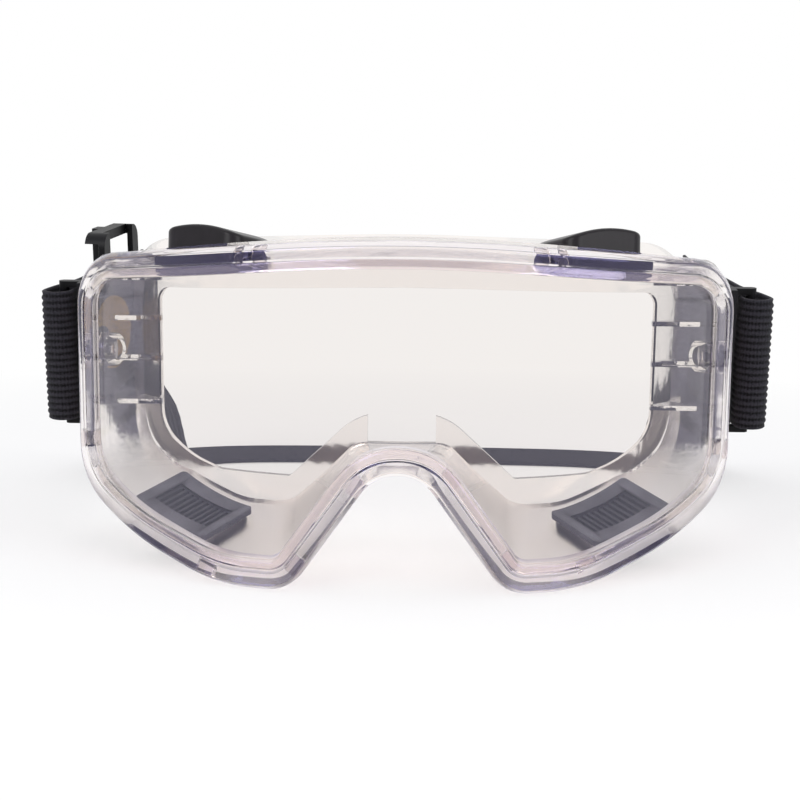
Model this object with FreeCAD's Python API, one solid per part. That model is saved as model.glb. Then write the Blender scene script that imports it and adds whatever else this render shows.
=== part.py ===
import FreeCAD, Part
import math
import os
from FreeCAD import Vector

# Sports protective goggles, in millimetres.  +X is the wearer's left, +Y runs from the lens
# back to the face, +Z is up.  The pieces are drawn from the frontmost point of the rim and saved
# with the origin on the table, under the middle of the whole length.

# --- front rim, looking along +Y; every outline is a half outline that is mirrored ---
RIM_HALF_WIDTH = 93.0
RIM_TOP = 92.0
RIM_TOP_FALL = 6.2            # how far the top edge falls from the middle to the corner
RIM_CHEEK_Z = 22.5            # where the side turns into the cheek
RIM_CHEEK_TUCK = 0.6          # how far the side leans in by then
RIM_JOWL = (74.0, 10.0)       # bend halfway along the cheek
LOBE_OUTER_X = 48.0
LOBE_INNER_X = 28.0
NOSE_HALF = 6.0               # half width of the top of the nose notch
NOSE_Z = 31.0
RIM_RADII = (460.0, 15.0, 21.0, 90.0, 52.0, 12.0, 11.5)
RIM_WIDTHS = (7.2, 6.4, 7.6, 8.0, 8.0, 7.6, 7.4)   # top, side, cheek, jowl, lobe, leg, nose
RIM_CURVE = 118.0             # radius of the wrap round a vertical axis
RIM_DEPTH = 9.0

# --- lens ---
LENS_THICK = 2.0
LENS_SET_BACK = 2.0
LENS_LAP = 2.6
LENS_GAP = 0.12

# --- wall where it meets the face flange ---
FACE_HALF_WIDTH = 82.5
FACE_TOP = 87.0
FACE_TOP_FALL = 2.4
FACE_CHEEK_Z = 31.0
FACE_CHEEK_TUCK = 0.8
FACE_JOWL = (66.0, 20.5)
FACE_LOBE_OUTER_X = 46.0
FACE_LOBE_INNER_X = 31.5
FACE_LOBE_Z = 14.5
FACE_NOSE_HALF = 12.5
FACE_NOSE_Z = 32.5
FACE_RADII = (500.0, 13.0, 20.0, 60.0, 20.0, 6.0, 10.0)
FACE_CURVE = 95.0
FACE_MIDDLE_Y = 42.0
WALL = 2.2
FLANGE_THICK = 2.4
FLANGE_OUT = (5.6, 4.5, 8.0, 14.0, 14.5, 8.0, 5.5)
FLANGE_IN = (9.0, 8.5, 7.0, 7.0, 9.5, 7.0, 10.5)
BRIDGE_SLOT = 19.0            # slit that lets the flange flex over the nose

# --- rim fittings ---
TAB_SIZE = (5.0, 2.2)
TAB_SPOTS = ((1, 0.86), (3, 0.92), (5, 0.12), (5, 0.82))   # edge of the outline, share along it
TAB_DEPTH = 4.6
TAB_OUT = 1.4                 # from the rim's middle line towards its outer edge
TAB_FIT = 0.1
PIN_SPOTS = ((35.4, 2.0), (40.8, 1.25))   # distance from the middle, radius
PIN_LENGTH = 4.4

# --- vents: size along the wall, size front to back ---
UPPER_VENT = (24.5, 19.0)
UPPER_VENT_X = 50.5
UPPER_HOOD_RISE = 6.6
UPPER_HOOD_CROWN = (38.0, -4.5)   # radius of the domed top, and its middle along the vent
UPPER_BOW = 600.0             # radius that the grille's plate is bowed to
LOWER_VENT = (28.0, 19.0)
LOWER_VENT_AT = 0.50          # share of the way along the jowl facet
LOWER_HOOD_DROP = 3.4
LOWER_HOOD_CROWN = (70.0, 0.0)
LOWER_BOW = 62.0
VENT_PLATE = 1.8
VENT_SEAT = 0.3               # between the wall and the plate
VENT_CORNER = 1.5
VENT_BORDER = 3.6
VENT_SIDE_BORDER = 4.5        # border along the plate's long edges
RECESS_DEPTH = 0.72
NECK_WALL = 1.8
NECK_OUT = 0.6                # how far the neck stands out of the wall
VENT_NECK = 2.4               # how far the neck stands in from the plate's edge
VENT_FIT = 0.15
SLOTS = 10
SLOT_SHARE = 0.55             # slot width over slot pitch
SLOT_END = 0.5                # between the slots and the recess's edge
HOOD_WALL = 1.6
HOOD_CORNER = 4.0
HOOD_EDGE = 1.2
HOOD_SINK = 1.2               # how far the hood's foot is drawn into the wall before it is trimmed
MOUTH_SIDE = 3.0              # wall left at each end of the hood's rear mouth
MOUTH_SILL = 1.0
GUSSET_HEIGHTS = (41.0, 54.0, 66.0, 78.0)
GUSSET_THICK = 1.4
GUSSET_FROM_Y = 70.0
GUSSET_REACH = 7.5            # how far the gussets stand in from the wall

# --- headband ---
PIVOT_Y = 71.5
PIVOT_Z = 57.2
PIVOT_R = 3.0
PIVOT_FIT = 0.05
PIVOT_GRIP = 5.0              # how deep the pin sits in its boss
BOSS_R = 5.0
BOSS_LENGTH = 14.0            # drawn into the cavity and trimmed by the wall's inside
BOSS_HOLE_IN = 16.0
BOSS_FACE_X = 91.7
CLIP_GAP = 0.3
CLIP_THICK = 2.2
CLIP_YAW = 14.0               # the plate leans in along the wall
CLIP_BACK = 17.5              # plate behind the pivot
CLIP_PLATE_HEIGHT = 30.0
POST_OUT = 1.6                # the post's inner face, outwards from the plate's
POST_THICK = 2.0
POST_DEPTH = 4.6
POST_AHEAD = 9.4              # the post's front edge, ahead of the pivot
CLIP_ARM = 1.8
CLIP_END_GAP = 0.5            # between the strap's edge and the arm
HUB_R = 6.6
CORNER_R = 6.0
CAP_R = 4.6
CAP_THICK = 0.7
CAP_EDGE = 0.4
CAP_GAP = 0.1
TURN_X = 101.6                # middle of the strap's turn
TURN_AHEAD = 7.5              # middle of the strap's turn, in front of the pivot
BAR_R = 1.5
BAR_IN = 1.3                  # from the middle of the strap's turn towards the plate
BAR_BACK = 2.5                # and to the rear
STRAP_WIDTH = 38.5
STRAP_THICK = 1.7
STRAP_TURN = 4.05             # radius of the strap's centre line round the bar
LAYER_HALF_GAP = 1.25         # from the pair's middle to each layer's middle
RISE = 8.0                    # how steeply the side runs climb, degrees
RUN_YAW = 8.0                 # how far they lean inwards, degrees
CONVERGE = 20.0
RUN_LENGTH = 75.0
HEM_LENGTH = 44.0
TAIL_LENGTH = 78.0
SLIDER_AT = 42.0
SLIDER_LENGTH = 30.0
SLIDER_RAIL = 3.0
SLIDER_RAIL_THICK = 4.2
SLIDER_CORNER = 4.5
SLIDER_HEADROOM = 5.3         # half of the slot's spare height
SLIDER_UP = 4.0               # the slider rides high on the strap
SLIDER_BAR = 5.0
SLIDER_BAR_THICK = 1.8
SLIDER_CLEAR = 0.5
REAR_ROUTE = ((96.5, 152.0), (103.0, 174.0), (105.0, 198.0), (92.0, 222.0), (48.0, 235.0), (0.0, 236.0))
REAR_START = 25.0             # how firmly the route leaves along the side and meets the middle
REAR_END = 30.0
REAR_STEPS = 30
ROLL_FROM = 0.05              # shares of the way from the side's end to the middle of the back
ROLL_TO = 0.5
CLIMB_SHARE = 0.2
LAND_SHARE = 0.42
TABLE_GAP = 0.05
STITCH_THICK = 0.35
STITCH_SIZE = (3.0, 30.0)
STITCH_SPOTS = (14.0, 4.0)    # from the hem's end
LABEL_R = 11.2
LABEL_THICK = 0.4
LABEL_BACK = 7.8              # label's middle behind the pivot, along the plate
LABEL_UP = 3.8
RUN_STEPS = 12                # sections along each straight, and round the turn

FRONT_PLANE = -2.0
BACK_PLANE = 97.0
TALL = 160.0
SINK = 30.0
DEEP = 120.0                  # long enough to reach behind the flange
ARC_SHARE = 0.48              # most of an edge that the arc at one end may take
SMALLEST_RADIUS = 1.5
PARALLEL = 0.9                # cosine above which an edge counts as lying along an axis
CLOSE = 0.01


def half_outline(half_width, top, fall, cheek_z, tuck, jowl, lobe_out, lobe_in, lobe_z, nose_half, nose_z):
    """Corners of one half, from the middle of the top round to the nose."""
    return [
        (0.0, top),
        (half_width, top - fall),
        (half_width - tuck, cheek_z),
        jowl,
        (lobe_out, lobe_z),
        (lobe_in, lobe_z),
        (nose_half, nose_z),
    ]


RIM_HALF = half_outline(RIM_HALF_WIDTH, RIM_TOP, RIM_TOP_FALL, RIM_CHEEK_Z, RIM_CHEEK_TUCK, RIM_JOWL,
                        LOBE_OUTER_X, LOBE_INNER_X, 0.0, NOSE_HALF, NOSE_Z)
FACE_HALF = half_outline(FACE_HALF_WIDTH, FACE_TOP, FACE_TOP_FALL, FACE_CHEEK_Z, FACE_CHEEK_TUCK, FACE_JOWL,
                         FACE_LOBE_OUTER_X, FACE_LOBE_INNER_X, FACE_LOBE_Z, FACE_NOSE_HALF, FACE_NOSE_Z)


def full_loop(half, radii):
    """Mirror a half outline into a closed clockwise loop of (x, z, radius)."""
    right = [(x, z, r) for (x, z), r in zip(half, radii)]
    left = [(-x, z, r) for x, z, r in reversed(right[1:])]
    return right + left


def edge_values(values):
    """One value per edge of the full loop: the half's edges, the nose top, then the mirrored half."""
    return list(values) + list(reversed(values[:-1]))


def inset(loop, widths):
    """Move each edge of a clockwise loop inwards by its own width; the corner radii follow."""
    count = len(loop)
    lines = []
    for i in range(count):
        x0, z0, _ = loop[i]
        x1, z1, _ = loop[(i + 1) % count]
        length = math.hypot(x1 - x0, z1 - z0)
        dx = (x1 - x0) / length
        dz = (z1 - z0) / length
        lines.append((x0 + dz * widths[i], z0 - dx * widths[i], dx, dz))
    result = []
    for i in range(count):
        ax, az, adx, adz = lines[i - 1]
        bx, bz, bdx, bdz = lines[i]
        cross = adx * bdz - adz * bdx
        t = ((bx - ax) * bdz - (bz - az) * bdx) / cross
        move = 0.5 * (widths[i - 1] + widths[i])
        radius = loop[i][2] - move if cross < 0 else loop[i][2] + move
        result.append((ax + adx * t, az + adz * t, max(radius, SMALLEST_RADIUS)))
    return result


def rounded_wire(loop, y):
    """Closed wire at depth y: straight edges joined by tangent arcs, each no longer than its edges allow."""
    count = len(loop)
    starts = []
    ends = []
    middles = []
    for i in range(count):
        px, pz, radius = loop[i]
        before = Vector(loop[i - 1][0] - px, 0, loop[i - 1][1] - pz)
        after = Vector(loop[(i + 1) % count][0] - px, 0, loop[(i + 1) % count][1] - pz)
        room = ARC_SHARE * min(before.Length, after.Length)
        before.normalize()
        after.normalize()
        corner = Vector(px, y, pz)
        half = 0.5 * before.getAngle(after)
        reach = min(radius / math.tan(half), room)
        radius = reach * math.tan(half)
        bisector = (before + after).normalize()
        starts.append(corner + before * reach)
        ends.append(corner + after * reach)
        middles.append(corner + bisector * (radius / math.sin(half) - radius))
    edges = []
    for i in range(count):
        edges.append(Part.Arc(starts[i], middles[i], ends[i]).toShape())
        edges.append(Part.LineSegment(ends[i], starts[(i + 1) % count]).toShape())
    return Part.Wire(edges)


def prism(loop, y0, y1):
    return Part.Face(rounded_wire(loop, y0)).extrude(Vector(0, y1 - y0, 0))


def upright_cylinder(radius, centre_y):
    return Part.makeCylinder(radius, TALL, Vector(0, centre_y, -SINK), Vector(0, 0, 1))


def rim_cylinder(depth):
    """The wrapped surface that lies this deep behind the front of the rim."""
    return upright_cylinder(RIM_CURVE - depth, RIM_CURVE)


def face_cylinder(ahead):
    """The wearer's face, grown forwards by this much."""
    return upright_cylinder(FACE_CURVE + ahead, FACE_MIDDLE_Y + FACE_CURVE)


def rim_y(x, depth):
    return RIM_CURVE - math.sqrt((RIM_CURVE - depth) ** 2 - x * x)


def face_y(x, ahead):
    return FACE_MIDDLE_Y + FACE_CURVE - math.sqrt((FACE_CURVE + ahead) ** 2 - x * x)


RIM_LOOP = full_loop(RIM_HALF, RIM_RADII)
WINDOW_LOOP = inset(RIM_LOOP, edge_values(RIM_WIDTHS))
FACE_LOOP = full_loop(FACE_HALF, FACE_RADII)
CLIP_X = BOSS_FACE_X + CLIP_GAP
CAP_X = CLIP_X + CLIP_THICK + CAP_GAP
CLIP_HEIGHT = STRAP_WIDTH + 2 * (CLIP_END_GAP + CLIP_ARM)


def wall_loop(y):
    """Section of the wall's outside at depth y, on the lines from the rim's back to the flange."""
    result = []
    for (fx, fz, fr), (bx, bz, br) in zip(RIM_LOOP, FACE_LOOP):
        y_front = rim_y(fx, RIM_DEPTH)
        y_back = face_y(bx, FLANGE_THICK)
        share = (y - y_front) / (y_back - y_front)
        radius = fr + (br - fr) * (y - FRONT_PLANE) / (BACK_PLANE - FRONT_PLANE)
        result.append((fx + (bx - fx) * share, fz + (bz - fz) * share, radius))
    return result


def wall_solid(inward):
    """Tapered solid that fills the wall's outside, or its inside when moved inward."""
    widths = edge_values((inward,) * len(RIM_WIDTHS))
    front = rounded_wire(inset(wall_loop(FRONT_PLANE), widths), FRONT_PLANE)
    back = rounded_wire(inset(wall_loop(BACK_PLANE), widths), BACK_PLANE)
    return Part.makeLoft([front, back], True, True)


def lens_loop(gap):
    return inset(WINDOW_LOOP, edge_values((-(LENS_LAP + gap),) * len(RIM_WIDTHS)))


def lens():
    blank = prism(lens_loop(0.0), FRONT_PLANE, BACK_PLANE)
    front = rim_cylinder(LENS_SET_BACK)
    back = rim_cylinder(LENS_SET_BACK + LENS_THICK)
    return blank.common(front.cut(back))


def lens_groove():
    blank = prism(lens_loop(LENS_GAP), FRONT_PLANE, BACK_PLANE)
    front = rim_cylinder(LENS_SET_BACK - LENS_GAP)
    back = rim_cylinder(LENS_SET_BACK + LENS_THICK + LENS_GAP)
    return blank.common(front.cut(back))


def rim_point(edge, share):
    """Point on the rim's middle line, a share of the way along one edge of the half outline."""
    middle = inset(RIM_LOOP, [0.5 * w for w in edge_values(RIM_WIDTHS)])
    x0, z0, _ = middle[edge]
    x1, z1, _ = middle[edge + 1]
    angle = math.atan2(z1 - z0, x1 - x0)
    return x0 + (x1 - x0) * share, z0 + (z1 - z0) * share, angle


def tab_spots():
    """Where the snap tabs sit: by the cheek, along the jowl, at the lobe's inner end and by the nose."""
    spots = [rim_point(edge, share) for edge, share in TAB_SPOTS]
    return spots + [(-x, z, math.pi - angle) for x, z, angle in spots]


def snap_tabs(grow):
    tabs = []
    length = TAB_SIZE[0] + 2 * grow
    width = TAB_SIZE[1] + 2 * grow
    skin = rim_cylinder(RIM_DEPTH - TAB_DEPTH - grow).cut(rim_cylinder(RIM_DEPTH))
    for x, z, angle in tab_spots():
        bar = Part.makeBox(length, BACK_PLANE, width, Vector(-length / 2, FRONT_PLANE, -width / 2 - TAB_OUT))
        bar.rotate(Vector(0, 0, 0), Vector(0, 1, 0), -math.degrees(angle))
        bar.translate(Vector(x, 0, z))
        tabs.append(bar.common(skin))
    return tabs


def locating_pins(grow):
    pins = []
    for side in (-1, 1):
        for x, radius in PIN_SPOTS:
            z = RIM_TOP - RIM_TOP_FALL * x / RIM_HALF_WIDTH - RIM_WIDTHS[0] / 2
            y = rim_y(x, RIM_DEPTH)
            start = Vector(side * x, y - PIN_LENGTH - grow, z)
            pins.append(Part.makeCylinder(radius + grow, 3 * PIN_LENGTH, start, Vector(0, 1, 0)))
    return [pin.common(rim_cylinder(0.0).cut(rim_cylinder(RIM_DEPTH))) for pin in pins]


def lens_bezel():
    ring = prism(RIM_LOOP, FRONT_PLANE, BACK_PLANE).cut(prism(WINDOW_LOOP, FRONT_PLANE, BACK_PLANE))
    bezel = ring.common(rim_cylinder(0.0).cut(rim_cylinder(RIM_DEPTH)))
    bezel = bezel.cut(lens_groove())
    return bezel.cut(snap_tabs(TAB_FIT)).cut(locating_pins(TAB_FIT))


def pivot_bosses():
    bosses = []
    for side in (-1, 1):
        bosses.append(pivot_cylinder(side, BOSS_R, BOSS_FACE_X - BOSS_LENGTH, BOSS_FACE_X))
    return bosses


def vent_frame(corner, along, back):
    """Placement whose X runs along the vent, Y to the rear and Z out of the wall's inside."""
    u = Vector(along).normalize()
    n = u.cross(back).normalize()
    v = n.cross(u)
    rows = [u.x, v.x, n.x, corner.x, u.y, v.y, n.y, corner.y, u.z, v.z, n.z, corner.z, 0, 0, 0, 1]
    return FreeCAD.Placement(FreeCAD.Matrix(*rows))


def jowl_point(index, share):
    """Point on the line from the rim's back to the flange that starts at one corner of the outline."""
    fx, fz, _ = RIM_LOOP[index]
    bx, bz, _ = FACE_LOOP[index]
    front = Vector(fx, rim_y(fx, RIM_DEPTH), fz)
    back = Vector(bx, face_y(bx, FLANGE_THICK), bz)
    return front + (back - front) * share


def lower_vent_frame():
    """Frame on the inside of the jowl facet of the +X half, halfway from rim to flange."""
    rows = []
    for share in (0.0, 0.5, 1.0):
        inner, outer = jowl_point(4, share), jowl_point(3, share)
        rows.append((inner + (outer - inner) * LOWER_VENT_AT, outer - inner))
    place = vent_frame(rows[1][0], rows[1][1], rows[2][0] - rows[0][0])
    return place.multiply(FreeCAD.Placement(Vector(0, 0, WALL), FreeCAD.Rotation()))


def upper_vent_frame():
    """Frame on the inside of the top wall of the +X half, turned with the wrap; its Z points down."""
    x = UPPER_VENT_X
    y = 0.5 * (rim_y(x, RIM_DEPTH) + face_y(x, FLANGE_THICK))
    loop = wall_loop(y)
    slope = (loop[1][1] - loop[0][1]) / (loop[1][0] - loop[0][0])
    fall = wall_loop(y + 1.0)[0][1] - loop[0][1]
    turn = math.asin(x / (RIM_CURVE - RIM_DEPTH))
    along = Vector(-math.cos(turn), -math.sin(turn), 0)
    back = Vector(-math.sin(turn), math.cos(turn), 0)
    along.z = along.x * slope + along.y * fall
    back.z = back.x * slope + back.y * fall
    place = vent_frame(Vector(x, y, loop[0][1] + slope * x), along, back)
    return place.multiply(FreeCAD.Placement(Vector(0, 0, WALL), FreeCAD.Rotation()))


def block(length, depth, z0, z1):
    return Part.makeBox(length, depth, z1 - z0, Vector(-length / 2, -depth / 2, z0))


def neck_size(size):
    return size[0] - 2 * VENT_NECK, size[1] - 2 * VENT_NECK


def upright_edges(shape):
    return [e for e in shape.Edges if abs(e.tangentAt(e.FirstParameter).z) > PARALLEL]


def bow_cylinder(size, radius, bow, middle=0.0, height=0.0):
    """Cylinder along the vent's Y; its lowest line lies at this height and its full radius is bow's."""
    start = Vector(middle, -size[1], height + bow)
    return Part.makeCylinder(radius, 2 * size[1], start, Vector(0, 1, 0))


def vent_grille(size, bow):
    """Bowed plate on the inside of the wall with a neck through it and a row of slots."""
    length, depth = neck_size(size)
    tall = VENT_SEAT + 3 * VENT_PLATE
    plate = block(size[0], size[1], -VENT_SEAT, tall)
    plate = plate.makeFillet(VENT_CORNER, upright_edges(plate))
    plate = plate.common(bow_cylinder(size, bow - VENT_SEAT, bow))
    plate = plate.cut(bow_cylinder(size, bow - VENT_SEAT - VENT_PLATE, bow))
    neck = block(length, depth, -WALL - NECK_OUT, tall)
    neck = neck.cut(bow_cylinder(size, bow - VENT_SEAT - VENT_PLATE / 2, bow))
    body = plate.fuse(neck)
    body = body.cut(block(length - 2 * NECK_WALL, depth - 2 * NECK_WALL, -WALL - 2 * NECK_OUT, VENT_SEAT))
    recess_length = size[0] - 2 * VENT_BORDER
    recess_depth = size[1] - 2 * VENT_SIDE_BORDER
    recess = block(recess_length, recess_depth, 0.0, tall)
    body = body.cut(recess.common(bow_cylinder(size, bow - VENT_SEAT - VENT_PLATE + RECESS_DEPTH, bow)))
    pitch = (recess_length - 2 * SLOT_END) / SLOTS
    for i in range(SLOTS):
        slot = block(pitch * SLOT_SHARE, recess_depth - 2 * SLOT_END, 0.0, tall)
        slot.translate(Vector((i - (SLOTS - 1) / 2) * pitch, 0, 0))
        body = body.cut(slot)
    return body


def vent_hood(size, rise, crown):
    """Domed cover on the outside of the wall, open at its rear edge."""
    crown_r, crown_at = crown
    top = -WALL - rise
    outer = block(size[0], size[1], top, -WALL + HOOD_SINK)
    outer = outer.makeFillet(HOOD_CORNER, upright_edges(outer))
    outer = outer.common(bow_cylinder(size, crown_r, crown_r, crown_at, top))
    domed = [f for f in outer.Faces if isinstance(f.Surface, Part.Cylinder) and f.Surface.Radius == crown_r]
    outer = outer.makeFillet(HOOD_EDGE, [e for f in domed for e in f.Edges])
    length = size[0] - 2 * HOOD_WALL
    depth = size[1] - 2 * HOOD_WALL
    inner = block(length, depth, top, -WALL + HOOD_SINK)
    mouth = block(length - 2 * MOUTH_SIDE, 2 * HOOD_WALL, top, -WALL - MOUTH_SILL)
    mouth.translate(Vector(0, size[1] / 2, 0))
    hollow = inner.fuse(mouth).common(bow_cylinder(size, crown_r - HOOD_WALL, crown_r, crown_at, top))
    return outer.cut(hollow)


def mirrored(shape):
    return shape.mirror(Vector(0, 0, 0), Vector(1, 0, 0))


def placed(shape, place):
    moved = shape.copy()
    moved.Placement = place.multiply(moved.Placement)
    return moved


def vents():
    """Name, wall opening cutter, grille and hood of each vent."""
    result = []
    outside = wall_solid(0.0)
    inside = wall_solid(WALL)
    kinds = (("upper", UPPER_VENT, upper_vent_frame(), UPPER_BOW, UPPER_HOOD_RISE, UPPER_HOOD_CROWN),
             ("lower", LOWER_VENT, lower_vent_frame(), LOWER_BOW, LOWER_HOOD_DROP, LOWER_HOOD_CROWN))
    for name, size, place, bow, rise, crown in kinds:
        length, depth = neck_size(size)
        opening = block(length + 2 * VENT_FIT, depth + 2 * VENT_FIT, -3 * WALL, 3 * WALL)
        cutter = placed(opening, place)
        grille = placed(vent_grille(size, bow), place).cut(outside.cut(inside).cut(cutter))
        hood = placed(vent_hood(size, rise, crown), place).cut(outside)
        for side, flip in (("left", False), ("right", True)):
            pieces = [cutter, grille, hood]
            if flip:
                pieces = [mirrored(piece) for piece in pieces]
            result.append((name + "_vent", side, pieces[0], pieces[1], pieces[2]))
    return result


def gussets(inside):
    """Thin ribs in the side corners, where the wall meets the flange."""
    ribs = []
    lean = edge_values([GUSSET_REACH + WALL] * len(RIM_WIDTHS))
    middle = prism(inset(FACE_LOOP, lean), FRONT_PLANE, BACK_PLANE)
    for side in (-1, 1):
        for height in GUSSET_HEIGHTS:
            corner = Vector(side * FACE_HALF_WIDTH - GUSSET_REACH - WALL, GUSSET_FROM_Y, height)
            rib = Part.makeBox(2 * (GUSSET_REACH + WALL), BACK_PLANE - GUSSET_FROM_Y, GUSSET_THICK, corner)
            ribs.append(rib.common(inside).cut(middle))
    return ribs


def frame_shell():
    outside = wall_solid(0.0)
    inside = wall_solid(WALL)
    shell = outside.fuse(pivot_bosses()).cut(inside)
    shell = shell.fuse(gussets(inside))
    shell = shell.common(rim_cylinder(RIM_DEPTH))
    shell = shell.cut(face_cylinder(FLANGE_THICK))
    for _, _, cutter, _, _ in vents():
        shell = shell.cut(cutter)
    ends = (BOSS_FACE_X - BOSS_HOLE_IN, BOSS_FACE_X + 1.0)
    holes = [pivot_cylinder(side, PIVOT_R, *ends) for side in (-1, 1)]
    return shell.cut(holes)


def face_flange():
    outer = inset(FACE_LOOP, edge_values([-w for w in FLANGE_OUT]))
    opening = inset(FACE_LOOP, edge_values(FLANGE_IN))
    band = prism(outer, 0.0, DEEP).cut(prism(opening, 0.0, DEEP))
    flange = band.common(face_cylinder(FLANGE_THICK).cut(face_cylinder(0.0)))
    top_of_wall = FACE_NOSE_Z + WALL
    slot = Part.makeBox(BRIDGE_SLOT, DEEP, FLANGE_IN[6], Vector(-BRIDGE_SLOT / 2, 0, top_of_wall))
    return flange.cut(slot)


def pivot_cylinder(side, radius, x0, x1):
    return Part.makeCylinder(radius, x1 - x0, Vector(side * x0, PIVOT_Y, PIVOT_Z), Vector(side, 0, 0))


def tilted(shape):
    """Turn a piece of the headband about the pivots, from level to its rise."""
    shape.rotate(Vector(0, PIVOT_Y, PIVOT_Z), Vector(1, 0, 0), RISE)
    return shape


def along_plate(shape):
    """Move a piece drawn at the origin to the pivot, leaning along the clip's plate."""
    shape.rotate(Vector(0, 0, 0), Vector(0, 0, 1), CLIP_YAW)
    shape.translate(Vector(CLIP_X, PIVOT_Y, PIVOT_Z))
    return shape


def strap_clip():
    """Plate along the wall, hub on the pivot, tall post and two arms that carry the strap bar, +X side."""
    plate = Part.makeBox(CLIP_THICK, CLIP_BACK, CLIP_PLATE_HEIGHT, Vector(0, 0, -CLIP_PLATE_HEIGHT / 2))
    corners = [e for e in plate.Edges if abs(e.tangentAt(e.FirstParameter).x) > PARALLEL]
    clip = along_plate(plate.makeFillet(CORNER_R, [e for e in corners if e.BoundBox.YMin > 0]))
    clip = clip.fuse(pivot_cylinder(1, HUB_R, CLIP_X, CLIP_X + CLIP_THICK))
    clip = clip.cut(pivot_cylinder(1, BOSS_R + CLIP_GAP, CLIP_X - 2 * HUB_R, CLIP_X))
    half = CLIP_HEIGHT / 2
    post_corner = Vector(CLIP_X + POST_OUT, PIVOT_Y - POST_AHEAD, PIVOT_Z - half)
    clip = clip.fuse(Part.makeBox(POST_THICK, POST_DEPTH, CLIP_HEIGHT, post_corner))
    bar_x = TURN_X - BAR_IN
    bar_y = PIVOT_Y - TURN_AHEAD + BAR_BACK
    for bottom in (-half, half - CLIP_ARM):
        corner = Vector(CLIP_X + POST_OUT, bar_y - BAR_R, PIVOT_Z + bottom)
        arm = Part.makeBox(bar_x - corner.x, 2 * BAR_R, CLIP_ARM, corner)
        clip = clip.fuse(arm)
    bar = Part.makeCylinder(BAR_R, CLIP_HEIGHT, Vector(bar_x, bar_y, PIVOT_Z - half))
    clip = clip.fuse(bar).removeSplitter()
    clip = clip.cut(pivot_cylinder(1, CAP_R + CLIP_GAP, CLIP_X + CLIP_THICK, TURN_X - STRAP_TURN))
    return tilted(clip.cut(pivot_cylinder(1, PIVOT_R + PIVOT_FIT, CLIP_X - 1, CAP_X)))


def pivot_pin():
    return pivot_cylinder(1, PIVOT_R, BOSS_FACE_X - PIVOT_GRIP, CAP_X)


def pivot_cap():
    cap = pivot_cylinder(1, CAP_R, CAP_X, CAP_X + CAP_THICK)
    rim = [e for e in cap.Edges if e.BoundBox.XMin > CAP_X + CAP_THICK - CLOSE]
    return cap.makeFillet(CAP_EDGE, rim)


def smooth(share):
    share = min(max(share, 0.0), 1.0)
    return share * share * (3 - 2 * share)


def run_point(distance, layer):
    """Level plan point beside the +X side run; layer is 1 outside, -1 inside."""
    yaw = math.radians(RUN_YAW)
    forward = Vector(-math.sin(yaw), math.cos(yaw), 0)
    outward = Vector(math.cos(yaw), math.sin(yaw), 0)
    offset = STRAP_TURN + (LAYER_HALF_GAP - STRAP_TURN) * smooth(distance / CONVERGE)
    start = Vector(TURN_X, PIVOT_Y - TURN_AHEAD, PIVOT_Z)
    return start + forward * distance + outward * (offset * layer)


def side_run(inner_length):
    """Level centre line of the +X side: inner layer, turn round the bar, outer layer."""
    points = []
    for i in range(RUN_STEPS):
        points.append(run_point(inner_length * (1 - i / RUN_STEPS), -1))
    yaw = math.radians(RUN_YAW)
    centre = Vector(TURN_X, PIVOT_Y - TURN_AHEAD, PIVOT_Z)
    for i in range(RUN_STEPS + 1):
        angle = math.pi + yaw + math.pi * i / RUN_STEPS
        points.append(centre + Vector(math.cos(angle), math.sin(angle), 0) * STRAP_TURN)
    for i in range(1, RUN_STEPS + 1):
        points.append(run_point(RUN_LENGTH * i / RUN_STEPS, 1))
    return points


def section(centre, tangent, across):
    """Strap cross-section: its width lies along across, squared up to the tangent."""
    tangent = Vector(tangent).normalize()
    across = Vector(across) - tangent * tangent.dot(across)
    across.normalize()
    normal = tangent.cross(across)
    wide = across * (STRAP_WIDTH / 2)
    thin = normal * (STRAP_THICK / 2)
    corners = [centre + wide + thin, centre + wide - thin, centre - wide - thin, centre - wide + thin]
    return Part.makePolygon(corners + [corners[0]])


def tilt_vector(vector):
    return FreeCAD.Rotation(Vector(1, 0, 0), RISE).multVec(vector)


def side_stations(inner_length):
    """Centre, tangent and width direction along the tilted +X side."""
    level = side_run(inner_length)
    pivot = Vector(0, PIVOT_Y, PIVOT_Z)
    up = tilt_vector(Vector(0, 0, 1))
    points = [pivot + tilt_vector(p - pivot) for p in level]
    stations = []
    for i, point in enumerate(points):
        before = points[max(i - 1, 0)]
        after = points[min(i + 1, len(points) - 1)]
        stations.append((point, after - before, up))
    return stations


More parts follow.
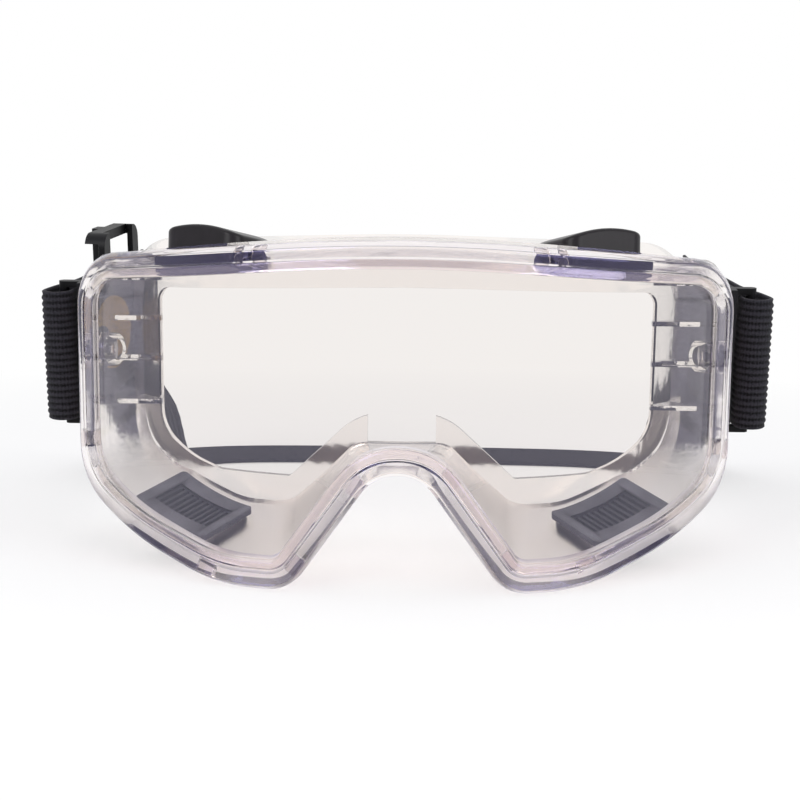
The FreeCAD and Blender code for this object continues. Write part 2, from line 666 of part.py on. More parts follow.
def rear_stations():
    """Centre, tangent and width direction from the end of the +X side to the middle of the back.

    The band climbs a little further, falls to the table and rolls from its edge on to its flat."""
    start, start_tangent, up = side_stations(HEM_LENGTH)[-1]
    level = Vector(start.x, start.y, 0)
    heading = Vector(start_tangent.x, start_tangent.y, 0).normalize()
    plan = Part.BSplineCurve()
    plan.interpolate(Points=[level] + [Vector(x, y, 0) for x, y in REAR_ROUTE],
                     InitialTangent=heading * REAR_START, FinalTangent=Vector(-REAR_END, 0, 0))
    first, last = plan.FirstParameter, plan.LastParameter
    lean = math.radians(RISE)
    edge_support = 0.5 * STRAP_WIDTH * math.cos(lean) + 0.5 * STRAP_THICK * math.sin(lean)
    points = []
    for i in range(REAR_STEPS + 1):
        share = i / REAR_STEPS
        where = plan.value(first + (last - first) * share)
        along = plan.tangent(first + (last - first) * share)[0]
        roll = 0.5 * math.pi * smooth((share - ROLL_FROM) / (ROLL_TO - ROLL_FROM))
        beside = Vector(-along.y, along.x, 0).normalize()
        tilt_fade = 1 - smooth(share / ROLL_TO)
        upward = up * tilt_fade + Vector(0, 0, 1) * (1 - tilt_fade)
        across = (upward * math.cos(roll) - beside * math.sin(roll)).normalize()
        steep = min(abs(across.z), 1.0)
        support = 0.5 * STRAP_WIDTH * steep + 0.5 * STRAP_THICK * math.sqrt(1 - steep * steep)
        climb = math.tan(lean) * (where - level).Length * (1 - smooth(share / CLIMB_SHARE))
        lift = (start.z - edge_support + climb) * (1 - smooth(share / LAND_SHARE)) + TABLE_GAP
        points.append((Vector(where.x, where.y, support + lift), across))
    stations = []
    for i in range(1, REAR_STEPS + 1):
        ahead = points[i + 1][0] if i < REAR_STEPS else mirror_vector(points[i - 1][0])
        stations.append((points[i][0], ahead - points[i - 1][0], points[i][1]))
    return stations


def mirror_vector(vector):
    return Vector(-vector.x, vector.y, vector.z)


def elastic_strap():
    """One band: hem, +X side, round the back on the table, -X side, tail."""
    plus = side_stations(HEM_LENGTH) + rear_stations()
    minus = side_stations(TAIL_LENGTH) + rear_stations()[:-1]
    stations = plus
    for centre, tangent, across in reversed(minus):
        stations.append((mirror_vector(centre), mirror_vector(tangent) * -1, mirror_vector(across)))
    return Part.makeLoft([section(*station) for station in stations], True, True)


def run_frame(distance, layer, out):
    """Placement on the tilted +X run: X across the layers, Y along the run, Z across the width."""
    yaw = FreeCAD.Rotation(Vector(0, 0, 1), RUN_YAW)
    tilt = FreeCAD.Rotation(Vector(1, 0, 0), RISE)
    pivot = Vector(0, PIVOT_Y, PIVOT_Z)
    level = run_point(distance, layer)
    outward = yaw.multVec(Vector(1, 0, 0))
    place = pivot + tilt.multVec(level + outward * out - pivot)
    return FreeCAD.Placement(place, tilt.multiply(yaw))


def centred_box(x_size, y_size, z_size):
    return Part.makeBox(x_size, y_size, z_size, Vector(-x_size / 2, -y_size / 2, -z_size / 2))


def strap_slider():
    """Length adjuster: a thin rounded frame whose two inner bars and one outer bar stand off the strap."""
    tunnel = 2 * LAYER_HALF_GAP + STRAP_THICK + 2 * SLIDER_CLEAR
    opening = STRAP_WIDTH + 2 * SLIDER_HEADROOM
    height = opening + 2 * SLIDER_RAIL
    reach = tunnel / 2 + SLIDER_BAR_THICK
    whole = centred_box(2 * reach, SLIDER_LENGTH, height)
    corners = [e for e in whole.Edges if abs(e.tangentAt(e.FirstParameter).x) > PARALLEL]
    whole = whole.makeFillet(SLIDER_CORNER, corners)
    body = centred_box(SLIDER_RAIL_THICK, SLIDER_LENGTH, height)
    end = (SLIDER_LENGTH - SLIDER_BAR) / 2
    for side, spots in ((-1, (-end, end)), (1, (0.0,))):
        for spot in spots:
            bar = centred_box(reach, SLIDER_BAR, height)
            bar.translate(Vector(side * reach / 2, spot, 0))
            body = body.fuse(bar)
    body = body.common(whole).cut(centred_box(tunnel, SLIDER_LENGTH + 2, opening))
    body.translate(Vector(0, 0, SLIDER_UP))
    middle = run_frame(SLIDER_AT, 1, -LAYER_HALF_GAP)
    return mirrored(placed(body.removeSplitter(), middle))


def stitching():
    """Bar tacks through both layers of the sewn +X loop."""
    tacks = []
    for distance in [HEM_LENGTH - spot for spot in STITCH_SPOTS]:
        gap = 2 * LAYER_HALF_GAP - STRAP_THICK
        inner = centred_box(gap, STITCH_SIZE[0], STITCH_SIZE[1])
        tacks.append(placed(inner, run_frame(distance, 1, -LAYER_HALF_GAP)))
        skin = centred_box(STITCH_THICK, STITCH_SIZE[0], STITCH_SIZE[1])
        tacks.append(placed(skin, run_frame(distance, 1, (STRAP_THICK + STITCH_THICK) / 2)))
    return Part.makeCompound(tacks)


def clip_label():
    """Plain tan disc on the inside of the -X clip's plate, cut away round the hub."""
    disc = Part.makeCylinder(LABEL_R, LABEL_THICK, Vector(0, LABEL_BACK, LABEL_UP), Vector(-1, 0, 0))
    around_hub = pivot_cylinder(1, HUB_R + CLIP_GAP, CLIP_X - 2 * HUB_R, CLIP_X + 2 * CLIP_THICK)
    disc = along_plate(disc).cut(around_hub)
    return mirrored(tilted(disc))


def save(name, shape):
    """Write one piece, moved so that the origin is under the middle of the whole length."""
    length = REAR_ROUTE[-1][1] + STRAP_WIDTH / 2
    shape.translate(Vector(0, -length / 2, 0))
    shape.exportStep(os.path.join("parts", name + ".step"))


def main():
    os.makedirs("parts", exist_ok=True)
    save("lens", lens())
    save("lens_bezel", lens_bezel())
    save("bezel_snap_tabs", Part.makeCompound(snap_tabs(0.0)))
    save("locating_pins", Part.makeCompound(locating_pins(0.0)))
    save("frame_shell", frame_shell())
    save("face_flange", face_flange())
    for name, side, _, grille, hood in vents():
        save(name + "_grille_" + side, grille)
        save(name + "_hood_" + side, hood)
    for side in ("left", "right"):
        pieces = {"strap_clip": strap_clip(), "pivot_pin": pivot_pin(), "pivot_cap": pivot_cap()}
        for name, shape in pieces.items():
            save(name + "_" + side, mirrored(shape) if side == "right" else shape)
    save("elastic_strap", elastic_strap())
    save("strap_slider", strap_slider())
    save("strap_stitching", stitching())
    save("clip_label", clip_label())


main()
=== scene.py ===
import math

import bmesh
import bpy
from mathutils import Matrix, Vector


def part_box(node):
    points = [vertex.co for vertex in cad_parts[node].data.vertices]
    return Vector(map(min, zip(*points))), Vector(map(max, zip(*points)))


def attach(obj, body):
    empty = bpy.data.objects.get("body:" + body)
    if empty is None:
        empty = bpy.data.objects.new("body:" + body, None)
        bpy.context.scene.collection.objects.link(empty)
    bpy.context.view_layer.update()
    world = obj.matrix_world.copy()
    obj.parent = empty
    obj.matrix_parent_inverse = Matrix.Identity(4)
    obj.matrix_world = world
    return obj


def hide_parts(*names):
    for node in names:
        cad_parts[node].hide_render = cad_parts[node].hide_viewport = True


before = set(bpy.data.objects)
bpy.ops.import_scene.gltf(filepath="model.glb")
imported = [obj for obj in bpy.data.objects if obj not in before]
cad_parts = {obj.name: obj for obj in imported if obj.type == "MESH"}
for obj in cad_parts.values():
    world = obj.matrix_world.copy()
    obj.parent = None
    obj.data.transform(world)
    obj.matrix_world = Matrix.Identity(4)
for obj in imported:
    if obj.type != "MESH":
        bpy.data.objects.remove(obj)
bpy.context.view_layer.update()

# Looks of the clear sports goggles.  Lengths are real millimetres unless a line says metres, and MM
# turns them to metres.
MM = 0.001
FRONT_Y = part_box("lens_bezel")[0].y     # front of the rim, in metres

# --- rim: half outline from the top middle round to the nose, mirrored.  Each corner has a radius,
# and each edge that leaves it has a width of rim beside it ---
RIM_HALF = (
    (0.0, 92.0), (93.0, 85.8), (92.4, 22.5), (74.0, 10.0), (48.0, 0.0), (28.0, 0.0), (6.0, 31.0),
)
RIM_RADII = (460.0, 15.0, 21.0, 90.0, 52.0, 12.0, 11.5)
RIM_WIDTHS = (7.2, 6.4, 7.6, 8.0, 8.0, 7.6, 7.4)
RIM_CURVE = 118.0           # radius that the rim's face is bent to, round a vertical axis
LENS_FRONT = 1.88           # front and back of the groove that holds the lens, behind the rim's face
LENS_BACK = 4.12
GROOVE_IN = 2.72            # how far that groove reaches into the rim
ARC_SHARE = 0.48            # most of its shorter edge that a corner's arc may take
SMALLEST_RADIUS = 1.5
ARC_STEPS = 14              # points round each corner, and along each straight
EDGE_STEPS = 14
RIM_CREASE = 50.0           # degrees

# --- webbing ---
STRAP_WIDTH = 38.5
STRAP_THICK = 1.7
RIBS = 19
RIB_HEIGHT = 0.42
POINTS_PER_RIB = 6
SELVEDGE = 1.2              # smooth edge beside the ribs
SELVEDGE_ROUND = ((0.25, -0.72), (0.0, -0.3), (0.0, 0.3), (0.25, 0.72))   # mm in, share of half thickness
STATION_GAP = 1.6
BAND_CREASE = 75.0          # degrees
BAND_UV = "along_across"
WELD = 0.001                # corners of the CAD band nearer than this are one
THICK_SLACK = 0.02          # how well its edges have to measure its thickness and its width
WIDTH_SLACK = 0.004

# --- eased edges of the hard fittings ---
FLAT_WITHIN = 1.0           # degrees: faces that turn less are one flat
EASE_OVER = 40.0            # degrees: edges that turn more are eased
EASE_SEGMENTS = 3

# --- clear plastics ---
FACE_ON_TO = 0.55           # share of the turn towards the edge that keeps the face-on colour
SCUFF_FULL = 22.0           # scuffs are full up to this height above the table, and gone by the next
SCUFF_END = 32.0
SCUFF_TURN = (0.2, 0.5)     # how level a face is where scuffs start, and where they are full

# --- opaque plastics ---
CLOUD_MM = 9.0              # size of the patches where the wear and the gloss change
RUBBED_SMOOTHER = 0.06      # how far the roughness goes each way from patch to patch
RUBBED_DULLER = 0.08
PAINTED_SHADE_REACH = 4.0          # gaps narrower than this get painted shade

# --- woven elastic and label ---
FUZZ_PER_MM = 2.2
FUZZ_HEIGHT = 0.12
PICK_SHARE = 0.08           # how much of the relief the picks make, beside the fuzz
GROOVE_SHADE_SHARE = -0.22          # painted shade: the gaps between the cords are darker
FLECKS_PER_MM = 0.9
FLECK_HEIGHT = 0.05

# --- studio, in metres, watts and degrees ---
FLOOR_HALF = 3.0
FADE_FROM, FADE_TO = 0.16, 0.5          # distance from the middle where the floor turns to pure white
FADE_LEAST = 0.45
ROOM_SEEN, ROOM_LIGHT = 1.0, 0.7        # strength of the room as it is seen, and as it lights
LAMP_TARGET = (0.0, 0.0, 0.04)
LAMPS = (                               # name, place, width and height, power
    ("key", (-0.5, -0.8, 0.55), (0.6, 0.6), 4.0),
    ("fill", (0.7, -0.6, 0.4), (0.5, 0.5), 2.5),
    ("top", (0.0, 0.1, 1.1), (0.9, 0.6), 1.0),
)
AIM = Vector((0.0006, FRONT_Y, 0.0512))
AZIMUTH, ELEVATION, ROLL = 1.688, 6.67, 0.566
DISTANCE = 0.369
FOCAL_MM, SENSOR_MM = 66.15, 36.0
LIGHT_BOUNCES = 24                      # enough to pass the many clear walls that lie behind each other


# ------------------------------------------------------------------ nodes

def linear(hex_colour):
    """sRGB hex to a linear colour with full alpha."""
    parts = [int(hex_colour[i:i + 2], 16) / 255 for i in (1, 3, 5)]
    return tuple(c / 12.92 if c <= 0.04045 else ((c + 0.055) / 1.055) ** 2.4 for c in parts) + (1.0,)


def add(tree, kind, settings=None, links=None, stops=()):
    """Adds a node.  Settings reach its inputs or its own properties, and links join an output, or a
    node's first output, to its inputs.  Stops are a colour ramp's places and hex colours."""
    made = tree.nodes.new(kind)
    for name, value in (settings or {}).items():
        if isinstance(name, int) or name in made.inputs:
            made.inputs[name].default_value = value
        else:
            setattr(made, name, value)
    for name, source in (links or {}).items():
        output = source.outputs[0] if isinstance(source, bpy.types.Node) else source
        tree.links.new(output, made.inputs[name])
    for i, (place, colour) in enumerate(stops):
        elements = made.color_ramp.elements
        stop = elements[i] if i < 2 else elements.new(place)
        stop.position, stop.color = place, linear(colour)
    return made


def fresh(name):
    """A material with an empty node tree."""
    material = bpy.data.materials.new(name)
    material.use_nodes = True
    material.node_tree.nodes.clear()
    return material, material.node_tree


def per_mm(count):
    """Noise scale that gives this many waves in a millimetre."""
    return count / MM


def seen_directly(tree):
    """1 where the eye, clear plastic or gloss looks, and 0 for light on its way to the object."""
    path = add(tree, "ShaderNodeLightPath").outputs
    seen = add(tree, "ShaderNodeMath", {"operation": "MAXIMUM"},
               {0: path["Is Camera Ray"], 1: path["Is Transmission Ray"]})
    return add(tree, "ShaderNodeMath", {"operation": "MAXIMUM"}, {0: seen, 1: path["Is Glossy Ray"]})


# ------------------------------------------------------------------ materials

def scuffed(tree, where, roughness, scuff):
    """Roughness that wear adds to level faces near the table, where the goggles slide about."""
    height = add(tree, "ShaderNodeSeparateXYZ", links={0: where}).outputs["Z"]
    low = add(tree, "ShaderNodeMapRange",
              {"From Min": SCUFF_FULL * MM, "From Max": SCUFF_END * MM, "To Min": scuff, "To Max": 0.0},
              {"Value": height})
    normal = add(tree, "ShaderNodeNewGeometry").outputs["Normal"]
    level = add(tree, "ShaderNodeMath", {"operation": "ABSOLUTE"},
                {0: add(tree, "ShaderNodeSeparateXYZ", links={0: normal}).outputs["Z"]})
    turned = add(tree, "ShaderNodeMapRange", {"From Min": SCUFF_TURN[0], "From Max": SCUFF_TURN[1]},
                 {"Value": level})
    return add(tree, "ShaderNodeMath", {"operation": "MULTIPLY_ADD", 2: roughness}, {0: low, 1: turned})


def clear_plastic(name, face_on, edge_on, mirror, lets_light, ior, roughness, wave_mm, wave_height,
                  scuff=0.0):
    """See-through plastic.  Face on it barely tints; along its edges the path through it is long, so
    the tint gathers there.  Its skin mirrors a little of the white room, tinted by mirror, and slow
    waves in it bend what shows through.  Lamps pass it, tinted by lets_light."""
    material, tree = fresh(name)
    where = add(tree, "ShaderNodeTexCoord").outputs["Object"]
    waves = add(tree, "ShaderNodeTexNoise", {"Scale": per_mm(1 / wave_mm), "Detail": 2.0},
                {"Vector": where})
    bump = add(tree, "ShaderNodeBump", {"Strength": 0.6, "Distance": wave_height * MM}, {"Height": waves})
    facing = add(tree, "ShaderNodeLayerWeight", {"Blend": 0.35}, {"Normal": bump}).outputs["Facing"]
    tint = add(tree, "ShaderNodeValToRGB", links={0: facing},
               stops=((0.0, face_on), (FACE_ON_TO, face_on), (1.0, edge_on)))
    glass = add(tree, "ShaderNodeBsdfPrincipled",
                {"Transmission Weight": 1.0, "IOR": ior, "Specular Tint": linear(mirror),
                 "Roughness": roughness},
                {"Base Color": tint, "Normal": bump})
    if scuff:
        tree.links.new(scuffed(tree, where, roughness, scuff).outputs[0], glass.inputs["Roughness"])
    for_lamps = add(tree, "ShaderNodeBsdfTransparent", {"Color": linear(lets_light)})
    both = add(tree, "ShaderNodeMixShader",
               links={0: add(tree, "ShaderNodeLightPath").outputs["Is Shadow Ray"], 1: glass, 2: for_lamps})
    add(tree, "ShaderNodeOutputMaterial", links={"Surface": both})
    return material


def moulded_plastic(name, body, wear_and_highlight, shine, roughness, grain_mm, grain_height):
    """Opaque moulding with a fine spark-eroded grain, sized in mm.  Its edges are painted paler, partly as
    rubbing wear and partly as painted highlight, its gaps carry painted shade, and its gloss changes in soft
    patches."""
    material, tree = fresh(name)
    where = add(tree, "ShaderNodeTexCoord").outputs["Object"]
    grain = add(tree, "ShaderNodeTexNoise", {"Scale": per_mm(1 / grain_mm), "Detail": 4.0},
                {"Vector": where})
    cloud = add(tree, "ShaderNodeTexNoise", {"Scale": per_mm(1 / CLOUD_MM), "Detail": 3.0},
                {"Vector": where})
    # Painted highlight and wear: pointy edges are painted towards the paler colour.
    edge_wear_and_highlight = add(tree, "ShaderNodeValToRGB",
                 links={0: add(tree, "ShaderNodeNewGeometry").outputs["Pointiness"]},
                 stops=((0.5, "#000000"), (0.62, "#ffffff")))
    cloudy = add(tree, "ShaderNodeValToRGB", links={0: cloud}, stops=((0.3, "#5a5a5a"), (0.75, "#c8c8c8")))
    wear_and_highlight_share = add(tree, "ShaderNodeMath", {"operation": "MULTIPLY"}, {0: edge_wear_and_highlight, 1: cloudy})
    # Painted shade: ambient occlusion darkens the body colour in gaps and recesses.
    body_with_painted_shade = add(tree, "ShaderNodeAmbientOcclusion", {"Distance": PAINTED_SHADE_REACH * MM, "Color": linear(body)})
    colour = add(tree, "ShaderNodeMix", {"data_type": "RGBA", 7: linear(wear_and_highlight)},
                 {0: wear_and_highlight_share, 6: body_with_painted_shade}).outputs[2]
    rough = add(tree, "ShaderNodeMapRange",
                {"To Min": roughness - RUBBED_SMOOTHER, "To Max": roughness + RUBBED_DULLER},
                {"Value": cloud})
    bump = add(tree, "ShaderNodeBump", {"Strength": 0.35, "Distance": grain_height * MM},
               {"Height": grain})
    shader = add(tree, "ShaderNodeBsdfPrincipled", {"IOR": 1.5, "Specular IOR Level": shine},
                 {"Base Color": colour, "Roughness": rough, "Normal": bump})
    add(tree, "ShaderNodeOutputMaterial", links={"Surface": shader})
    return material


def woven(name, yarn, gap, pick_mm, rib_mm):
    """Woven elastic: picks cross the ribs every pick_mm, fuzz breaks the sheen, and the yarn sinks in painted
    shade to the gap's colour between ribs.  U runs along the band and V across it, both in metres."""
    material, tree = fresh(name)
    place = add(tree, "ShaderNodeSeparateXYZ", links={0: add(tree, "ShaderNodeUVMap", {"uv_map": BAND_UV})})
    turn = add(tree, "ShaderNodeMath", {"operation": "MULTIPLY", 1: 2 * math.pi / (pick_mm * MM)},
               {0: place.outputs["X"]})
    picks = add(tree, "ShaderNodeMath", {"operation": "SINE"}, {0: turn})
    fuzz = add(tree, "ShaderNodeTexNoise", {"Scale": per_mm(FUZZ_PER_MM), "Detail": 5.0},
               {"Vector": add(tree, "ShaderNodeTexCoord").outputs["Object"]})
    height = add(tree, "ShaderNodeMath", {"operation": "MULTIPLY_ADD", 1: PICK_SHARE}, {0: picks, 2: fuzz})
    bump = add(tree, "ShaderNodeBump", {"Strength": 0.5, "Distance": FUZZ_HEIGHT * MM}, {"Height": height})
    phase = add(tree, "ShaderNodeMath",
                {"operation": "MULTIPLY_ADD", 1: 2 * math.pi / (rib_mm * MM), 2: math.pi * RIBS},
                {0: place.outputs["Y"]})
    cords = add(tree, "ShaderNodeMath", {"operation": "COSINE"}, {0: phase})
    # Painted shade: between ribs the colour sinks towards gap, the painted shade colour; picks and fuzz add
    # weave tone.
    weave_tone_and_groove_shade = add(tree, "ShaderNodeMath", {"operation": "MULTIPLY_ADD", 1: GROOVE_SHADE_SHARE}, {0: cords, 2: height})
    colour = add(tree, "ShaderNodeValToRGB", links={0: weave_tone_and_groove_shade}, stops=((0.2, gap), (0.75, yarn)))
    shader = add(tree, "ShaderNodeBsdfPrincipled",
                 {"Roughness": 0.82, "IOR": 1.45, "Sheen Weight": 0.08, "Sheen Roughness": 0.5,
                  "Specular IOR Level": 0.1},
                 {"Base Color": colour, "Normal": bump})
    add(tree, "ShaderNodeOutputMaterial", links={"Surface": shader})
    return material


def printed_film(name, ink, speck):
    """Matt print on film, with a fleck like paper's."""
    material, tree = fresh(name)
    fleck = add(tree, "ShaderNodeTexNoise", {"Scale": per_mm(FLECKS_PER_MM), "Detail": 6.0},
                {"Vector": add(tree, "ShaderNodeTexCoord").outputs["Object"]})
    colour = add(tree, "ShaderNodeValToRGB", links={0: fleck}, stops=((0.3, speck), (0.62, ink)))
    bump = add(tree, "ShaderNodeBump", {"Strength": 0.3, "Distance": FLECK_HEIGHT * MM}, {"Height": fleck})
    shader = add(tree, "ShaderNodeBsdfPrincipled", {"Roughness": 0.6, "IOR": 1.5},
                 {"Base Color": colour, "Normal": bump})
    add(tree, "ShaderNodeOutputMaterial", links={"Surface": shader})
    return material


# Polycarbonate sheet, extruded and hard coated: water clear and glossy, with the faintest warm grey
# and waves so long and low that straight lines behind it stay straight.
POLYCARBONATE = clear_plastic(
    "polycarbonate_hard_coated", face_on="#f2eeeb", edge_on="#dcd6e0", mirror="#e4e2ff",
    lets_light="#f6f2f0", ior=1.585, roughness=0.0, wave_mm=40.0, wave_height=0.02)
# Clear rim, injection moulded in a polished mould: glossy, a little pink, lavender along its edges.
# Its underside is dulled by the table.
CLEAR_RIM = clear_plastic(
    "clear_moulded_rim", face_on="#fcf8f8", edge_on="#a39cce", mirror="#b9b6ff",
    lets_light="#f3ecef", ior=1.50, roughness=0.03, wave_mm=14.0, wave_height=0.10, scuff=0.3)
# Tabs and pins of the same plastic, moulded small: their edges read darker than the rim's.
CLEAR_FITTING = clear_plastic(
    "clear_moulded_fittings", face_on="#f4eeef", edge_on="#9a90a8", mirror="#c4c2ff",
    lets_light="#f0e8eb", ior=1.50, roughness=0.08, wave_mm=5.0, wave_height=0.10)
# Plasticised PVC, injection moulded: softer gloss than the rim and a paler, greyer edge, with short
# waves and a dulled underside.
SOFT_PVC = clear_plastic(
    "clear_soft_pvc", face_on="#fdfbfb", edge_on="#cfc2cc", mirror="#c9c6ff",
    lets_light="#f4eef0", ior=1.53, roughness=0.08, wave_mm=9.0, wave_height=0.12, scuff=0.22)
# The same PVC in the thin lip that meets the face: its cut edge gathers a beige line.
SEAL_PVC = clear_plastic(
    "clear_soft_pvc_seal", face_on="#f9f5f2", edge_on="#a97a54", mirror="#ffe2cc",
    lets_light="#f4eeea", ior=1.53, roughness=0.06, wave_mm=9.0, wave_height=0.12)
# Nylon, injection moulded in a spark-eroded mould: dense black with half a gloss.  The grain is drawn
# coarser than the real one, so that it shows.
BLACK_NYLON = moulded_plastic(
    "black_nylon_moulded", body="#0c0c0e", wear_and_highlight="#222227", shine=0.14, roughness=0.42,
    grain_mm=0.35, grain_height=0.05)
# ABS, injection moulded: smoother, glossier and a little browner than the nylon.
BLACK_HOOD = moulded_plastic(
    "black_abs_moulded", body="#151116", wear_and_highlight="#302c33", shine=0.22, roughness=0.32,
    grain_mm=0.5, grain_height=0.04)
# The same ABS in slate grey; the slats' edges carry a pale painted highlight.
VENT_GREY = moulded_plastic(
    "slate_abs_moulded", body="#1b1c27", wear_and_highlight="#8d8f9e", shine=0.2, roughness=0.36,
    grain_mm=0.4, grain_height=0.04)
# Rubber cords woven over with black polyester: matt, with a line of painted shade between one rib and the
# next.
# The picks are drawn 0.9 mm apart, wider than the real ones, so that they show.
WEBBING = woven(
    "woven_elastic_webbing", yarn="#302f35", gap="#08080a", pick_mm=0.9,
    rib_mm=(STRAP_WIDTH - 2 * SELVEDGE) / RIBS)
# Polyester film, printed plain tan: matt olive drab with a darker fleck.
TAN_LABEL = printed_film("tan_film_label", ink="#8f7418", speck="#5f4c0c")


# ------------------------------------------------------------------ mesh helpers

def mesh_object(name, points, faces, uvs=None):
    """A mesh in the scene; uvs has one pair for each point."""
    mesh = bpy.data.meshes.new(name)
    mesh.from_pydata([Vector(p) for p in points], [], faces)
    if uvs is not None:
        layer = mesh.uv_layers.new(name=BAND_UV)
        for loop in mesh.loops:
            layer.data[loop.index].uv = uvs[loop.vertex_index]
    made = bpy.data.objects.new(name, mesh)
    bpy.context.scene.collection.objects.link(made)
    return made


def outward(piece):
    """Turns every face of a closed piece outwards."""
    work = bmesh.new()
    work.from_mesh(piece.data)
    bmesh.ops.recalc_face_normals(work, faces=work.faces)
    work.to_mesh(piece.data)
    work.free()


def shade(piece, angle):
    """Smooth shading, with creases kept where faces meet at more than angle degrees."""
    piece.data.polygons.foreach_set("use_smooth", [True] * len(piece.data.polygons))
    piece.data.set_sharp_from_angle(angle=math.radians(angle))
    piece.data.update()


def finish_piece(piece, material, body, slot, *nodes):
    """Gives a new piece its material and body; it stands for the CAD nodes."""
    piece.data.materials.clear()
    piece.data.materials.append(material)
    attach(piece, body)
    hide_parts(*nodes)
    return piece


def paint(node, material, soften=None):
    """Gives a CAD node its material and, where soften is given in mm, eased edges."""
    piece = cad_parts[node]
    piece.data.materials.clear()
    piece.data.materials.append(material)
    if soften:
        flat = piece.modifiers.new("flat_faces", "DECIMATE")
        flat.decimate_type = "DISSOLVE"
        flat.angle_limit = math.radians(FLAT_WITHIN)
        eased = piece.modifiers.new("eased_edges", "BEVEL")
        eased.width = soften * MM
        eased.segments = EASE_SEGMENTS
        eased.limit_method = "ANGLE"
        eased.angle_limit = math.radians(EASE_OVER)
        eased.harden_normals = True


# ------------------------------------------------------------------ outlines

def full_loop(half, radii):
    """Both halves of an outline, clockwise, each corner with its radius."""
    right = [(x, z, r) for (x, z), r in zip(half, radii)]
    return right + [(-x, z, r) for x, z, r in reversed(right[1:])]


def edge_values(values):
    """Values for every edge of the full loop, from those of one half."""
    return list(values) + list(reversed(values[:-1]))


def inset(loop, widths):
    """Moves each edge of a clockwise loop inwards by its own width; corner radii follow."""
    lines = []
    for i, (x0, z0, _) in enumerate(loop):
        x1, z1, _ = loop[(i + 1) % len(loop)]
        length = math.hypot(x1 - x0, z1 - z0)
        dx, dz = (x1 - x0) / length, (z1 - z0) / length
        lines.append((x0 + dz * widths[i], z0 - dx * widths[i], dx, dz))
    result = []
    for i, (_, _, radius) in enumerate(loop):
        ax, az, adx, adz = lines[i - 1]
        bx, bz, bdx, bdz = lines[i]
        cross = adx * bdz - adz * bdx
        t = ((bx - ax) * bdz - (bz - az) * bdx) / cross
        move = 0.5 * (widths[i - 1] + widths[i])
        radius += -move if cross < 0 else move
        result.append((ax + adx * t, az + adz * t, max(radius, SMALLEST_RADIUS)))
    return result


def corner_arcs(loop):
    """Points of each rounded corner of a loop, one list per corner."""
    arcs = []
    for i, (x, z, radius) in enumerate(loop):
        corner = Vector((x, z))
        before = Vector(loop[i - 1][:2]) - corner
        after = Vector(loop[(i + 1) % len(loop)][:2]) - corner
        room = ARC_SHARE * min(before.length, after.length)
        before.normalize()
        after.normalize()
        half = 0.5 * before.angle(after)
        reach = min(radius / math.tan(half), room)
        centre = corner + (before + after).normalized() * (reach / math.cos(half))
        start = corner + before * reach - centre
        end = corner + after * reach - centre
        sweep = start.angle_signed(end)
        arc = []
        for k in range(ARC_STEPS + 1):
            turned = Vector(start)
            turned.rotate(Matrix.Rotation(-sweep * k / ARC_STEPS, 2))
            arc.append(centre + turned)
        arcs.append(arc)
    return arcs


def outline_points(loop):
    """Points round a loop, as many for any loop with the same number of corners."""
    arcs = corner_arcs(loop)
    points = []
    for arc, following in zip(arcs, arcs[1:] + arcs[:1]):
        points.extend(arc)
        for k in range(1, EDGE_STEPS):
            points.append(arc[-1].lerp(following[0], k / EDGE_STEPS))
    return points


def rim_y(x, depth):
    """Distance behind FRONT_Y of a point x from the middle and depth behind the rim's face."""
    return RIM_CURVE - math.sqrt((RIM_CURVE - depth) ** 2 - x * x)


# ------------------------------------------------------------------ rim

# Section of the rim: mm in from the outer edge, or mm out from the window's edge, then the depth.
RIM_SECTION = (
    # outer wall and the broad eased bead
    ("outer", 0.0, 4.2), ("outer", 0.06, 3.6), ("outer", 0.3, 2.2), ("outer", 1.15, 0.42),
    ("outer", 1.45, 0.1), ("outer", 1.9, 0.0),
    # step down to the lip round the window
    ("window", 3.3, 0.0), ("window", 3.05, 0.08), ("window", 2.85, 0.5), ("window", 2.6, 0.62),
    ("window", 0.95, 0.62), ("window", 0.35, 0.74), ("window", 0.06, 1.15), ("window", 0.0, 1.6),
    # groove for the lens
    ("window", 0.0, LENS_FRONT), ("window", GROOVE_IN, LENS_FRONT),
    ("window", GROOVE_IN, LENS_BACK), ("window", 0.0, LENS_BACK),
    # back, eased at both corners
    ("window", 0.0, 8.3), ("window", 0.2, 8.8), ("window", 0.7, 8.97),
    ("outer", 0.7, 8.97), ("outer", 0.2, 8.8), ("outer", 0.0, 8.3),
    # line where the halves of the mould met
    ("outer", 0.0, 5.9), ("outer", 0.1, 5.62), ("outer", 0.42, 5.5),
    ("outer", 0.42, 5.0), ("outer", 0.1, 4.88), ("outer", 0.0, 4.6),
)


def build_rim():
    """Moulded rim swept round the outline: eased bead, stepped lip, lens groove and parting line."""
    rim_loop = full_loop(RIM_HALF, RIM_RADII)
    outer = outline_points(rim_loop)
    window = outline_points(inset(rim_loop, edge_values(RIM_WIDTHS)))
    points = []
    for far, near in zip(outer, window):
        width = (near - far).length
        for side, offset, depth in RIM_SECTION:
            spot = far.lerp(near, offset / width if side == "outer" else 1 - offset / width)
            points.append((spot.x * MM, FRONT_Y + rim_y(spot.x, depth) * MM, spot.y * MM))
    ring = len(RIM_SECTION)
    faces = []
    for i in range(len(outer)):
        a, b = i * ring, (i + 1) % len(outer) * ring
        for k in range(ring):
            n = (k + 1) % ring
            faces.append((a + k, b + k, b + n, a + n))
    rim = mesh_object("rim_moulding", points, faces)
    outward(rim)
    shade(rim, RIM_CREASE)
    finish_piece(rim, CLEAR_RIM, "goggles", "clear_rim", "lens_bezel")


# ------------------------------------------------------------------ webbing

